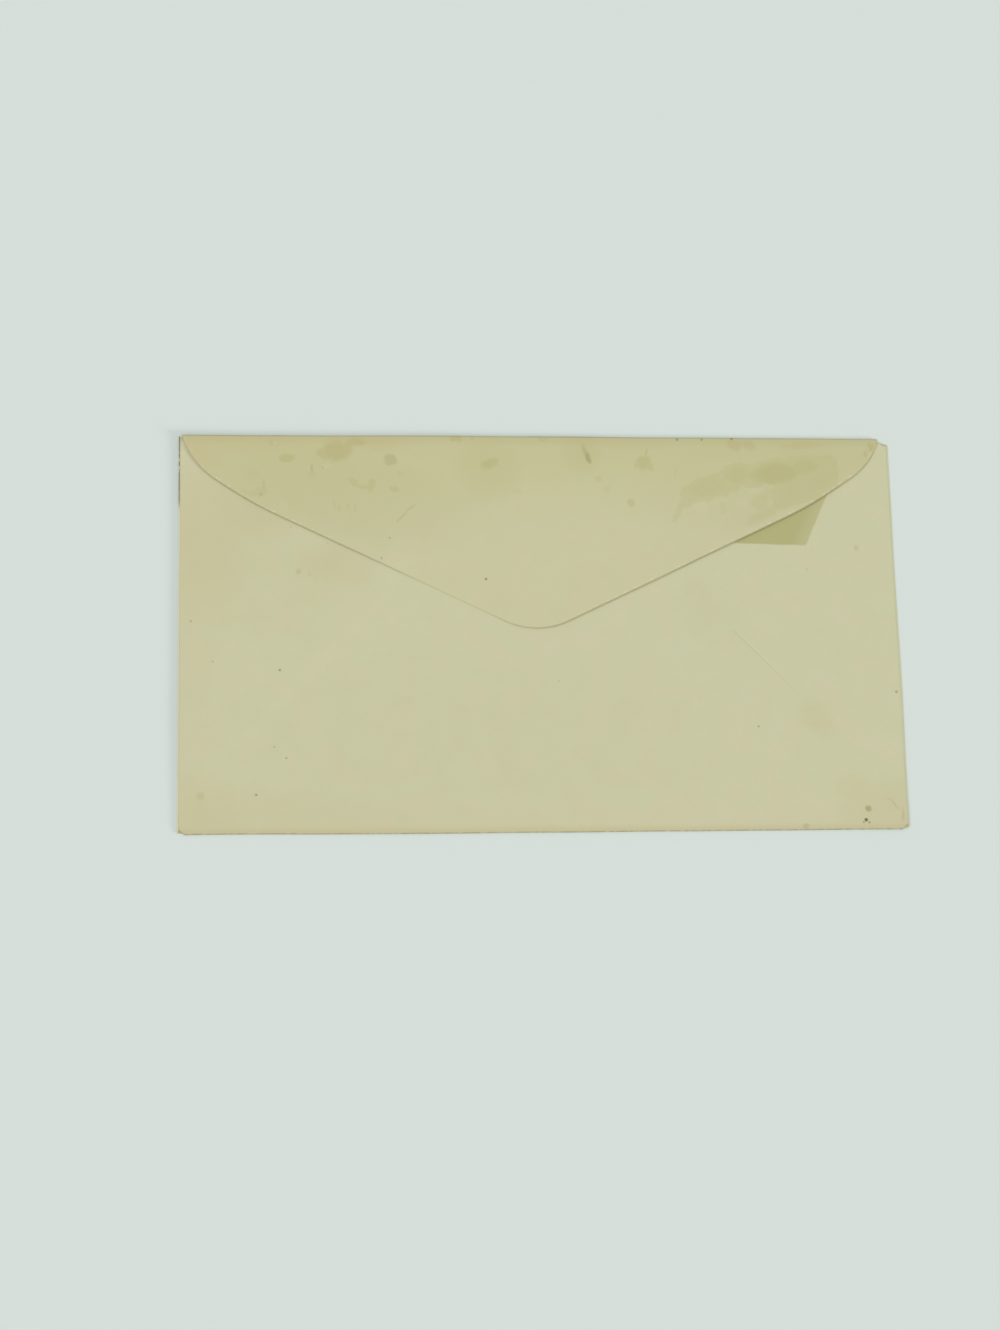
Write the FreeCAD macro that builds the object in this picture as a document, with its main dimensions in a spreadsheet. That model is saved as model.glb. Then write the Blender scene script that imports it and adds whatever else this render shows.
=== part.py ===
"""A paper envelope of the 6 1/2 by 3 5/8 inch size, lying on its address side with its flap closed.

The whole envelope is one sheet of paper. The front panel lies on the surface. Two side flaps fold
in from its ends, the back panel folds up over them from the bottom edge and is gummed to them, and
the pointed closing flap folds down over the back panel from the top edge.

Frame, in millimetres: X runs along the long side, Y points from the bottom fold to the top fold,
Z points up, and the origin is under the middle of the envelope.
"""
import FreeCAD, Part
import math
import os
from collections import namedtuple
from enum import IntEnum

import Sketcher

SIZES = {
    # Folded envelope, its paper, and the room inside the pocket and under the closing flap.
    "envelope_length": 165.1,
    "envelope_width": 92.1,
    "paper": 0.12,
    "pocket_gap": 0.30,
    "flap_gap": 0.20,
    # Room between the ends of two folds that meet at a corner, where the blank is notched.
    "fold_relief": 0.30,
    # Small cuts at the ends of the top fold: along it, and down the side.
    "corner_inset_left": 0.5,
    "corner_inset_right": 2.1,
    "corner_drop_left": 0.6,
    "corner_drop_right": 1.4,
    # Side flap: its point, and the foot where its lower edge turns down to the corner.
    "side_point_depth": 54.2,
    "side_point_drop": 30.5,
    "side_point_radius": 12.0,
    "side_foot_run": 3.5,
    "side_foot_rise": 10.4,
    "side_foot_radius": 15.0,
    # Back panel, and the throat that its upper edge makes.
    "back_inset": 0.6,
    "back_corner_drop": 1.8,
    "back_corner_radius": 1.2,
    "throat_depth": 20.0,
    "throat_radius": 40.0,
    # Closing flap: its point, the gentle knee above it, and the shoulder below the fold's end.
    "flap_point_shift": 1.0,
    "flap_point_drop": 47.4,
    "flap_point_radius": 17.0,
    "knee_run": 17.0,
    "knee_drop": 16.5,
    "knee_radius": 90.0,
    "shoulder_run": 3.2,
    "shoulder_drop": 7.3,
    "shoulder_radius": 20.0,
}

# Rules on those sizes, for what follows from them.
HALF_LENGTH = "Sizes.envelope_length / 2"
HALF_WIDTH = "Sizes.envelope_width / 2"

# Height of each layer's underside.
SIDE_LEVEL = "Sizes.paper + Sizes.pocket_gap"
BACK_LEVEL = "2 * Sizes.paper + Sizes.pocket_gap"
FLAP_LEVEL = "3 * Sizes.paper + Sizes.pocket_gap + Sizes.flap_gap"

# Outer radius of each fold, which is half the height of the layers that it wraps.
SIDE_BEND = "(2 * Sizes.paper + Sizes.pocket_gap) / 2"
BOTTOM_BEND = "(3 * Sizes.paper + Sizes.pocket_gap) / 2"
TOP_BEND = "(4 * Sizes.paper + Sizes.pocket_gap + Sizes.flap_gap) / 2"

# Lines where the flat paper ends and a fold begins.
RIGHT_LINE = f"{HALF_LENGTH} - {SIDE_BEND}"
LEFT_LINE = f"-({RIGHT_LINE})"
BOTTOM_LINE = f"-({HALF_WIDTH} - {BOTTOM_BEND})"
TOP_LINE = f"{HALF_WIDTH} - {TOP_BEND}"

# Ends of the folds, and the back panel's raw edges.
SIDE_FOLD_LOW = f"{BOTTOM_LINE} + Sizes.fold_relief"
SIDE_FOLD_HIGH = f"{HALF_WIDTH} - Sizes.corner_drop_right - Sizes.fold_relief"
TOP_FOLD_LEFT = f"{HALF_LENGTH} - Sizes.corner_inset_left"
TOP_FOLD_RIGHT = f"{HALF_LENGTH} - Sizes.corner_inset_right"
BACK_EDGE = f"{HALF_LENGTH} - Sizes.back_inset"

Bend = namedtuple("Bend", "arc entry leave left_turn")


class Place(IntEnum):
    """The places on an element of a sketch."""
    START = 1
    END = 2
    CENTRE = 3


class Axis(IntEnum):
    """A sketch's own axes. The first one starts at the sketch's origin."""
    X = -1
    Y = -2


def make_sheet(doc):
    """Writes the driving sizes into the table that everything else reads."""
    sheet = doc.addObject("Spreadsheet::Sheet", "Sizes")
    for row, (alias, size) in enumerate(SIZES.items(), start=1):
        sheet.set(f"A{row}", alias.replace("_", " "))
        sheet.set(f"B{row}", str(size))
        sheet.setAlias(f"B{row}", alias)
    doc.recompute()
    return sheet


def value(sheet, rule):
    """Works out a rule on the sizes."""
    return float(sheet.evalExpression(rule))


def origin_plane(body, role):
    """Finds one of the body's own origin planes."""
    planes = {feature.Role: feature for feature in body.Origin.OriginFeatures}
    return planes[role]


def add_sketch(body, name, plane, height="0"):
    """Adds an empty sketch on an origin plane, raised by a rule."""
    sketch = body.newObject("Sketcher::SketchObject", name)
    sketch.AttachmentSupport = (origin_plane(body, plane), [""])
    sketch.MapMode = "FlatFace"
    sketch.setExpression("AttachmentOffset.Base.z", height)
    return sketch


def tie(sketch, kind, *terms):
    """Adds a constraint with no size of its own."""
    sketch.addConstraint(Sketcher.Constraint(kind, *terms))


def bind(sketch, kind, *terms, rule, size):
    """Adds a dimension and binds it to a rule."""
    index = sketch.addConstraint(Sketcher.Constraint(kind, *terms, size))
    sketch.setExpression(f"Constraints[{index}]", rule)


def pin(sketch, sheet, element, place, x_rule, y_rule):
    """Holds one place of an element where two rules say. An x rule of 0 is the middle line."""
    if x_rule == "0":
        tie(sketch, "PointOnObject", element, place, Axis.Y)
    else:
        bind(sketch, "DistanceX", Axis.X, Place.START, element, place,
             rule=x_rule, size=value(sheet, x_rule))
    bind(sketch, "DistanceY", Axis.X, Place.START, element, place,
         rule=y_rule, size=value(sheet, y_rule))


def corner_bend(before, corner, after, radius):
    """Works out the arc that rounds a corner, and where it meets the two lines."""
    back = (before - corner).normalize()
    ahead = (after - corner).normalize()
    half_angle = back.getAngle(ahead) / 2
    run = radius / math.tan(half_angle)
    entry = corner + back * run
    leave = corner + ahead * run
    centre = corner + (back + ahead).normalize() * (radius / math.sin(half_angle))
    left_turn = ahead.cross(back).z > 0
    first = entry if left_turn else leave
    start = math.atan2(first.y - centre.y, first.x - centre.x)
    sweep = math.pi - 2 * half_angle
    circle = Part.Circle(centre, FreeCAD.Vector(0, 0, 1), radius)
    return Bend(Part.ArcOfCircle(circle, start, start + sweep), entry, leave, left_turn)


def add_bend(sketch, bend, line_in, line_out, radius_rule):
    """Adds a rounded corner's arc between its two lines."""
    arc = sketch.addGeometry(bend.arc)
    near = Place.START if bend.left_turn else Place.END
    far = Place.END if bend.left_turn else Place.START
    tie(sketch, "Tangent", line_in, Place.END, arc, near)
    tie(sketch, "Tangent", arc, far, line_out, Place.START)
    bind(sketch, "Radius", arc, rule=radius_rule, size=bend.arc.Radius)


def outline(sketch, sheet, corners):
    """Draws a closed outline. Each corner is an x rule, a y rule and a radius rule or None."""
    count = len(corners)
    spots = [FreeCAD.Vector(value(sheet, x), value(sheet, y), 0) for x, y, _ in corners]
    bends = []
    for number, (_, _, radius_rule) in enumerate(corners):
        around = spots[number - 1], spots[number], spots[(number + 1) % count]
        bends.append(corner_bend(*around, value(sheet, radius_rule)) if radius_rule else None)

    lines = []
    for number, (spot, bend) in enumerate(zip(spots, bends)):
        following = (number + 1) % count
        begin = bend.leave if bend else spot
        finish = bends[following].entry if bends[following] else spots[following]
        lines.append(sketch.addGeometry(Part.LineSegment(begin, finish)))

    for number, (x_rule, y_rule, radius_rule) in enumerate(corners):
        line_in = lines[number - 1]
        line_out = lines[number]
        if bends[number] is None:
            tie(sketch, "Coincident", line_in, Place.END, line_out, Place.START)
            pin(sketch, sheet, line_out, Place.START, x_rule, y_rule)
            continue
        add_bend(sketch, bends[number], line_in, line_out, radius_rule)
        point = sketch.addGeometry(Part.Point(spots[number]), True)
        tie(sketch, "PointOnObject", point, Place.START, line_in)
        tie(sketch, "PointOnObject", point, Place.START, line_out)
        pin(sketch, sheet, point, Place.START, x_rule, y_rule)


def fold_section(sketch, sheet, line_rule, bend_rule, outward):
    """Draws a fold's half ring, which bulges outward, 1 or -1, from the line where it begins."""
    inner_rule = f"{bend_rule} - Sizes.paper"
    outer = value(sheet, bend_rule)
    inner = value(sheet, inner_rule)
    centre = FreeCAD.Vector(value(sheet, line_rule), outer, 0)
    start = -outward * math.pi / 2
    rings = []
    for radius, rule in ((outer, bend_rule), (inner, inner_rule)):
        circle = Part.Circle(centre, FreeCAD.Vector(0, 0, 1), radius)
        ring = sketch.addGeometry(Part.ArcOfCircle(circle, start, start + math.pi))
        bind(sketch, "Radius", ring, rule=rule, size=radius)
        rings.append(ring)
    outer_ring, inner_ring = rings
    pin(sketch, sheet, outer_ring, Place.CENTRE, line_rule, bend_rule)
    tie(sketch, "Coincident", outer_ring, Place.CENTRE, inner_ring, Place.CENTRE)
    for place, up in ((Place.START, -outward), (Place.END, outward)):
        far = centre + FreeCAD.Vector(0, up * outer, 0)
        near = centre + FreeCAD.Vector(0, up * inner, 0)
        cap = sketch.addGeometry(Part.LineSegment(far, near))
        tie(sketch, "Coincident", cap, Place.START, outer_ring, place)
        tie(sketch, "Coincident", cap, Place.END, inner_ring, place)
        tie(sketch, "Vertical", cap)
        tie(sketch, "PointOnObject", outer_ring, Place.CENTRE, cap)


def add_pad(body, name, sketch, ahead, behind=None):
    """Thickens a sketch by a rule ahead of its plane and, where given, another one behind it."""
    pad = body.newObject("PartDesign::Pad", name)
    pad.Profile = sketch
    pad.setExpression("Length", ahead)
    if behind is not None:
        pad.SideType = "Two sides"
        pad.setExpression("Length2", behind)
    pad.Refine = True
    return pad


def add_front_panel(body, sheet):
    """The address side, flat on the surface, with the small cuts at its top corners."""
    sketch = add_sketch(body, "FrontOutline", "XY_Plane")
    outline(sketch, sheet, [
        (LEFT_LINE, BOTTOM_LINE, None),
        (RIGHT_LINE, BOTTOM_LINE, None),
        (RIGHT_LINE, f"{HALF_WIDTH} - Sizes.corner_drop_right", None),
        (TOP_FOLD_RIGHT, TOP_LINE, None),
        (f"-({TOP_FOLD_LEFT})", TOP_LINE, None),
        (LEFT_LINE, f"{HALF_WIDTH} - Sizes.corner_drop_left", None),
    ])
    add_pad(body, "FrontPanel", sketch, "Sizes.paper")


def add_side_flaps(body, sheet):
    """The right side flap with its fold, and both mirrored to the left."""
    section = add_sketch(body, "SideFoldSection", "XZ_Plane")
    fold_section(section, sheet, RIGHT_LINE, SIDE_BEND, 1)
    fold = add_pad(body, "SideFold", section, f"-({SIDE_FOLD_LOW})", SIDE_FOLD_HIGH)

    sketch = add_sketch(body, "SideFlapOutline", "XY_Plane", SIDE_LEVEL)
    point = (f"{HALF_LENGTH} - Sizes.side_point_depth", f"{HALF_WIDTH} - Sizes.side_point_drop")
    foot = (f"{RIGHT_LINE} - Sizes.side_foot_run", f"{SIDE_FOLD_LOW} + Sizes.side_foot_rise")
    outline(sketch, sheet, [
        (RIGHT_LINE, SIDE_FOLD_LOW, None),
        (RIGHT_LINE, SIDE_FOLD_HIGH, None),
        (*point, "Sizes.side_point_radius"),
        (*foot, "Sizes.side_foot_radius"),
    ])
    flap = add_pad(body, "SideFlap", sketch, "Sizes.paper")

    mirrored = body.newObject("PartDesign::Mirrored", "LeftSideFlap")
    mirrored.Originals = [fold, flap]
    mirrored.MirrorPlane = (origin_plane(body, "YZ_Plane"), [""])
    mirrored.Refine = True
    body.Tip = mirrored


def add_back_panel(body, sheet):
    """The bottom fold and the back panel, whose upper edge dips to the middle as the throat."""
    section = add_sketch(body, "BottomFoldSection", "YZ_Plane")
    fold_section(section, sheet, BOTTOM_LINE, BOTTOM_BEND, -1)
    add_pad(body, "BottomFold", section, BACK_EDGE, BACK_EDGE)

    sketch = add_sketch(body, "BackOutline", "XY_Plane", BACK_LEVEL)
    back_top = f"{HALF_WIDTH} - Sizes.back_corner_drop"
    outline(sketch, sheet, [
        (f"-({BACK_EDGE})", BOTTOM_LINE, None),
        (BACK_EDGE, BOTTOM_LINE, None),
        (BACK_EDGE, back_top, "Sizes.back_corner_radius"),
        ("0", f"{HALF_WIDTH} - Sizes.throat_depth", "Sizes.throat_radius"),
        (f"-({BACK_EDGE})", back_top, "Sizes.back_corner_radius"),
    ])
    add_pad(body, "BackPanel", sketch, "Sizes.paper")


def add_closing_flap(body, sheet):
    """The top fold and the pointed closing flap, whose point lies a little left of the middle."""
    section = add_sketch(body, "TopFoldSection", "YZ_Plane")
    fold_section(section, sheet, TOP_LINE, TOP_BEND, 1)
    add_pad(body, "TopFold", section, TOP_FOLD_RIGHT, TOP_FOLD_LEFT)

    sketch = add_sketch(body, "ClosingFlapOutline", "XY_Plane", FLAP_LEVEL)
    shoulder = (f"{HALF_WIDTH} - Sizes.shoulder_drop", "Sizes.shoulder_radius")
    knee = (f"{HALF_WIDTH} - Sizes.knee_drop", "Sizes.knee_radius")
    point = (f"{HALF_WIDTH} - Sizes.flap_point_drop", "Sizes.flap_point_radius")
    outline(sketch, sheet, [
        (TOP_FOLD_RIGHT, TOP_LINE, None),
        (f"-({TOP_FOLD_LEFT})", TOP_LINE, None),
        (f"-({TOP_FOLD_LEFT} - Sizes.shoulder_run)", *shoulder),
        (f"-({TOP_FOLD_LEFT} - Sizes.knee_run)", *knee),
        ("-Sizes.flap_point_shift", *point),
        (f"{TOP_FOLD_RIGHT} - Sizes.knee_run", *knee),
        (f"{TOP_FOLD_RIGHT} - Sizes.shoulder_run", *shoulder),
    ])
    add_pad(body, "ClosingFlap", sketch, "Sizes.paper")


def make_envelope(doc, sheet):
    """Builds the folded sheet in the order in which it is folded."""
    body = doc.addObject("PartDesign::Body", "Envelope")
    body.Label = "envelope"
    body.Placement = FreeCAD.Placement()
    add_front_panel(body, sheet)
    add_side_flaps(body, sheet)
    add_back_panel(body, sheet)
    add_closing_flap(body, sheet)
    return body


def check(doc, body):
    """Stops on a failed step, an unsound shape, or paper that is missing or has come apart."""
    for item in doc.Objects:
        if "Invalid" in item.State or "Error" in item.State:
            raise RuntimeError(f"{item.Name} failed: {item.State}")
        if item.isDerivedFrom("Sketcher::SketchObject") and item.solve() != 0:
            raise RuntimeError(f"{item.Name} can't be solved")
    shape = body.Shape
    if shape.isNull() or not shape.isValid():
        raise RuntimeError(f"{body.Label} has no sound shape")
    if len(shape.Solids) != 1:
        raise RuntimeError(f"{body.Label} is {len(shape.Solids)} solids, not one sheet")
    volume = 0.0
    for step in body.Group:
        if step.isDerivedFrom("PartDesign::Feature"):
            if step.Shape.Volume <= volume:
                raise RuntimeError(f"{step.Name} adds no paper")
            volume = step.Shape.Volume


def main():
    doc = FreeCAD.newDocument("PaperEnvelope")
    sheet = make_sheet(doc)
    body = make_envelope(doc, sheet)
    doc.recompute()
    check(doc, body)
    os.makedirs("parts", exist_ok=True)
    body.Shape.exportStep(f"parts/{body.Label}.step")
    box = body.Shape.BoundBox
    print(f"{body.Label}: {box.XLength:.2f} x {box.YLength:.2f} x {box.ZLength:.2f} mm,",
          f"{body.Shape.Volume:.1f} mm3, {len(body.Shape.Faces)} faces")


main()
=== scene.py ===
import math
from collections import namedtuple

import bmesh
import bpy
from mathutils import Matrix, Vector, kdtree, noise


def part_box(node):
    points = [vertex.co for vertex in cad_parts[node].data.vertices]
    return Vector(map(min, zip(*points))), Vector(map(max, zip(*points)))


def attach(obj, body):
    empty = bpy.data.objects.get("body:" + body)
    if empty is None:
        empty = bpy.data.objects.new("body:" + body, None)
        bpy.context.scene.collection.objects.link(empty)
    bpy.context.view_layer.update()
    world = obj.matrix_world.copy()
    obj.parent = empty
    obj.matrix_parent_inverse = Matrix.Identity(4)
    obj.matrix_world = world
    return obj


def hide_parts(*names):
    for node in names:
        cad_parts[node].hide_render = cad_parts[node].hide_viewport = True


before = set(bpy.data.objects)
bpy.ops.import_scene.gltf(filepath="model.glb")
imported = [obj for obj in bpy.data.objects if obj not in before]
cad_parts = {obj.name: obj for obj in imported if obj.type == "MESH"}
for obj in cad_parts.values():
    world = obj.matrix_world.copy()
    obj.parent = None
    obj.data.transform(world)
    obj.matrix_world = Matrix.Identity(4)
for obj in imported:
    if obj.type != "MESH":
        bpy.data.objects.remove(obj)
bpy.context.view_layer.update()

# An old letter envelope, flap side up: one blank of thin wove paper, cut, folded and gummed.
# Sizes are in millimetres in the envelope's own frame: X along the long side, Y towards the
# closing flap's fold, Z up. The finished meshes are in metres.
MM = 0.001
_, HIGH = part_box("envelope")
HALF_LENGTH = HIGH.x / MM
HALF_WIDTH = HIGH.y / MM
HEIGHT = HIGH.z / MM

PAPER = 0.12
POCKET_GAP = 0.30
GRID = 1.25
BEND_CUTS = 10
ARC_STEP = 0.9
EDGE_STEP = 0.2
SHARP = math.radians(40)


class Fold:
    """A fold line of the blank: where the flat paper ends, and the bend that follows it."""

    def __init__(self, edge, wrapped_height):
        self.radius = wrapped_height / 2
        self.line = edge - self.radius
        self.length = math.pi * (self.radius - PAPER / 2)

    def flat(self, folded):
        """Where a place on the folded flap lies on the flat blank."""
        return self.line + self.length + (self.line - folded)

    def bend(self, flat):
        """Where a place beyond the line goes, and how high, when the flap is folded over."""
        beyond = flat - self.line
        if beyond >= self.length:
            return self.line - (beyond - self.length), 2 * self.radius
        angle = math.pi * beyond / self.length
        across = self.line + self.radius * math.sin(angle)
        return across, self.radius * (1 - math.cos(angle))


SIDE = Fold(HALF_LENGTH, 2 * PAPER + POCKET_GAP)
BOTTOM = Fold(HALF_WIDTH, 3 * PAPER + POCKET_GAP)
TOP = Fold(HALF_WIDTH, HEIGHT)

# The blank's notches and cut corners.
FOLD_RELIEF = 0.30
CORNER_LEFT = Vector((-HALF_LENGTH + 0.65, HALF_WIDTH - 0.35))
CORNER_RIGHT = Vector((HALF_LENGTH - 2.6, HALF_WIDTH - 1.2))
CUT_THROUGH_FLAP = Vector((0.3, 0.8))
SIDE_LOW = -BOTTOM.line + FOLD_RELIEF
BACK_EDGE = HALF_LENGTH - 0.45
BOTTOM_CUT = Vector((1.0, 0.8))

# Side flap, as seen folded on the right: its point and its foot.
SIDE_POINT = Vector((HALF_LENGTH - 54.2, HALF_WIDTH - 30.5))
SIDE_POINT_RADIUS = 12.0
SIDE_FOOT = Vector((SIDE.line - 3.5, SIDE_LOW + 10.4))
SIDE_END = Vector((SIDE.line, HALF_WIDTH - 1.7))
SIDE_FOOT_RADIUS = 15.0

# Back panel.
BACK_TOP = HALF_WIDTH - 0.8
BACK_CUT = Vector((1.8, 1.0))
THROAT = HALF_WIDTH - 20.0
THROAT_RADIUS = 40.0

# Closing flap: point, knees and shoulders.
FLAP_POINT = Vector((-1.35, HALF_WIDTH - 47.4))
FLAP_POINT_RADIUS = 17.0
KNEE_LEFT, KNEE_RIGHT = -HALF_LENGTH + 17.1, HALF_LENGTH - 19.4
KNEE_DROP, KNEE_RADIUS = 16.5, 90.0
SHOULDER_LEFT, SHOULDER_RIGHT = -HALF_LENGTH + 3.4, HALF_LENGTH - 5.6
SHOULDER_DROP, SHOULDER_RADIUS = 7.3, 20.0

# How the envelope has risen off the surface: at its left end, its top left and two corners.
LEFT_RISE, TOP_LEFT_RISE = 0.16, 0.20
Curl = namedtuple("Curl", "x y height reach")
CURLS = (Curl(-HALF_LENGTH, HALF_WIDTH, 0.10, 20.0), Curl(HALF_LENGTH, -HALF_WIDTH, 0.20, 18.0))

# How far the pocket has been pressed shut: all over, more along its folds, most under the flap's
# right knee, and how much flatter the top fold is creased.
PRESSED, PRESSED_AT_FOLDS, PRESSED_AT_KNEE = 0.14, 0.04, 0.10
UNDER_KNEE = Vector((57.0, 28.0))
TOP_CREASE, TOP_CREASE_RIGHT = 0.14, 0.14

# How far the back panel sinks beside the side flaps, and its waves: height and size.
BACK_SINK = 0.10
BACK_WAVE, BACK_WAVE_SIZE = 0.05, 30.0
BACK_RIPPLE, BACK_RIPPLE_SIZE = 0.02, 9.0
FLAP_WAVE, FLAP_WAVE_SIZE = 0.03, 16.0

# How far the folds run off a straight line: small wavers, and a bow in three of them.
FOLD_WAVER, TOP_WAVER = 0.05, 0.06
RIGHT_BOW, BOTTOM_BOW, TOP_BOW = 0.18, 0.22, 0.22

# Where the closing flap's edge is pressed flat and where it stands off: x, and the change of gap.
EDGE_GAPS = ((-75, 0.0), (-50, 0.04), (-36, 0.0), (-28, -0.15), (-14, -0.15), (-6, -0.02),
             (10, 0.06), (35, 0.08), (50, 0.18), (64, 0.16), (76, 0.0))


def smooth_step(low, high, value):
    """Goes softly from 0 at low to 1 at high."""
    share = min(max((value - low) / (high - low), 0.0), 1.0)
    return share * share * (3 - 2 * share)


def waver(place, wavelength, seed=0.0):
    """Smooth chance variation between about -1 and 1, with bumps of the given size."""
    return noise.noise(Vector((place[0] / wavelength, place[1] / wavelength, seed)))


def side_corners(high):
    """The right side flap's corners with their radii, with its fold running up to the given height."""
    side_turn = SIDE.line + SIDE.length
    return [
        (SIDE.line, -BOTTOM.line, 0),
        (SIDE.line, SIDE_LOW, 0),
        (side_turn, SIDE_LOW, 0),
        (SIDE.flat(SIDE_FOOT.x), SIDE_FOOT.y, SIDE_FOOT_RADIUS),
        (SIDE.flat(SIDE_POINT.x), SIDE_POINT.y, SIDE_POINT_RADIUS),
        (side_turn, high, 0),
        (SIDE.line, high, 0),
    ]


def blank_corners():
    """The flat blank's corners, anticlockwise from the bottom right, with their radii."""
    knee, shoulder = TOP.flat(HALF_WIDTH - KNEE_DROP), TOP.flat(HALF_WIDTH - SHOULDER_DROP)
    top_turn = TOP.line + TOP.length
    right = side_corners(CORNER_RIGHT.y - 0.05)
    left = [(-x, y, radius) for x, y, radius in reversed(side_corners(CORNER_LEFT.y - 0.05))]
    closing = [
        (SIDE.line, CORNER_RIGHT.y, 0),
        (CORNER_RIGHT.x, TOP.line, 0),
        (CORNER_RIGHT.x, top_turn, 0),
        (CORNER_RIGHT.x + CUT_THROUGH_FLAP.x, top_turn + CUT_THROUGH_FLAP.y, 0),
        (SHOULDER_RIGHT, shoulder, SHOULDER_RADIUS),
        (KNEE_RIGHT, knee, KNEE_RADIUS),
        (FLAP_POINT.x, TOP.flat(FLAP_POINT.y), FLAP_POINT_RADIUS),
        (KNEE_LEFT, knee, KNEE_RADIUS),
        (SHOULDER_LEFT, shoulder, SHOULDER_RADIUS),
        (CORNER_LEFT.x, top_turn, 0),
        (CORNER_LEFT.x, TOP.line, 0),
        (-SIDE.line, CORNER_LEFT.y, 0),
    ]
    bottom_turn = -BOTTOM.line - BOTTOM.length
    back_left = [
        (-BACK_EDGE + BOTTOM_CUT.x, -BOTTOM.line, 0),
        (-BACK_EDGE + BOTTOM_CUT.x, bottom_turn, 0),
        (-BACK_EDGE, bottom_turn - BOTTOM_CUT.y, 0),
        (-BACK_EDGE, -BOTTOM.flat(-BACK_TOP + BACK_CUT.y), 0),
        (-BACK_EDGE + BACK_CUT.x, -BOTTOM.flat(-BACK_TOP), 0),
    ]
    back_right = [(-x, y, radius) for x, y, radius in reversed(back_left)]
    throat = [(0.0, -BOTTOM.flat(-THROAT), THROAT_RADIUS)]
    return right + closing + left + back_left + throat + back_right


def draw_corner(bm, before, corner, after, radius):
    """Adds a corner of the outline, spun to its radius, and gives its first and last vertex."""
    if not radius:
        vertex = bm.verts.new(corner)
        return vertex, vertex
    back, ahead = (before - corner).normalized(), (after - corner).normalized()
    half_angle = back.angle(ahead) / 2
    centre = corner + (back + ahead).normalized() * (radius / math.sin(half_angle))
    first = bm.verts.new(corner + back * (radius / math.tan(half_angle)))
    turn = math.copysign(math.pi - 2 * half_angle, ahead.cross(back).z)
    steps = max(3, round(abs(turn) * radius / ARC_STEP))
    spun = bmesh.ops.spin(bm, geom=[first], cent=centre, axis=(0, 0, 1), angle=turn, steps=steps)
    last = next(item for item in spun["geom_last"] if isinstance(item, bmesh.types.BMVert))
    return first, last


def grid_lines(low, high):
    """The grid's lines between two limits, away from the folds, which have cuts of their own."""
    count = math.floor((high - low) / GRID)
    lines = [low + GRID * (number + 0.5) for number in range(count)]
    folds = [SIDE.line, -SIDE.line, TOP.line, -BOTTOM.line]
    return [at for at in lines if all(abs(at - fold) > GRID for fold in folds)]


def cut(bm, axis, at, faces):
    """Cuts the faces along a line across the blank."""
    place = Vector((at, 0, 0)) if axis == "x" else Vector((0, at, 0))
    geom = set(faces)
    for face in faces:
        geom.update(face.verts)
        geom.update(face.edges)
    bmesh.ops.bisect_plane(bm, geom=list(geom), dist=0.0005, plane_co=place,
                           plane_no=place.normalized() if at else (1, 0, 0))


def draw_blank(bm):
    """Draws the blank's outline, fills it, and cuts it into a grid that is finer at the folds."""
    corners = blank_corners()
    spots = [Vector((x, y, 0)) for x, y, _ in corners]
    ends = []
    for number, (_, _, radius) in enumerate(corners):
        after = spots[(number + 1) % len(spots)]
        ends.append(draw_corner(bm, spots[number - 1], spots[number], after, radius))
    for (_, last), (first, _) in zip(ends, ends[1:] + ends[:1]):
        bm.edges.new((last, first))
    bmesh.ops.contextual_create(bm, geom=bm.edges[:])

    reach_x = SIDE.flat(SIDE_POINT.x)
    reach_low, reach_high = -BOTTOM.flat(-BACK_TOP), TOP.flat(FLAP_POINT.y)
    cuts = [("x", at) for at in grid_lines(-reach_x, reach_x)]
    cuts += [("y", at) for at in grid_lines(reach_low, reach_high)]
    for part in range(BEND_CUTS + 1):
        share = part / BEND_CUTS
        cuts.append(("x", SIDE.line + SIDE.length * share))
        cuts.append(("x", -SIDE.line - SIDE.length * share))
        cuts.append(("y", TOP.line + TOP.length * share))
        cuts.append(("y", -BOTTOM.line - BOTTOM.length * share))
    for axis, at in cuts:
        cut(bm, axis, at, bm.faces)


def outline_points(bm):
    """A search tree of points along the blank's cut edges."""
    cut_edges = [edge for edge in bm.edges if edge.is_boundary]
    points = []
    for edge in cut_edges:
        start, end = (vertex.co for vertex in edge.verts)
        steps = max(1, math.ceil((end - start).length / EDGE_STEP))
        points += [start.lerp(end, step / steps) for step in range(steps + 1)]
    tree = kdtree.KDTree(len(points))
    for number, point in enumerate(points):
        tree.insert(point, number)
    tree.balance()
    return tree


def inside_side_flap(x, y):
    """How far a place on the envelope lies inside the edge of the side flap below it."""
    place = Vector((abs(x), y))
    depths = []
    for end in (SIDE_FOOT, SIDE_END):
        along = (end - SIDE_POINT).normalized()
        across = Vector((-along.y, along.x))
        side = 1 if across.dot(Vector((SIDE.line, 0)) - SIDE_POINT) > 0 else -1
        depths.append(side * across.dot(place - SIDE_POINT))
    short = [max(0.0, SIDE_POINT_RADIUS - depth) for depth in depths]
    return SIDE_POINT_RADIUS - math.hypot(*short)


def lift(x, y):
    """How far the whole envelope has risen off the surface: at its left end and at two corners."""
    left_end = smooth_step(9.0, 0.0, HALF_LENGTH + x) * smooth_step(-HALF_WIDTH, -15.0, y)
    top_left = smooth_step(12.0, 0.0, HALF_WIDTH - y) * smooth_step(20.0, -50.0, x)
    risen = max(LEFT_RISE * left_end, TOP_LEFT_RISE * top_left)
    for curl in CURLS:
        risen += curl.height * smooth_step(curl.reach, 0.0, math.hypot(x - curl.x, y - curl.y))
    return risen


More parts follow.
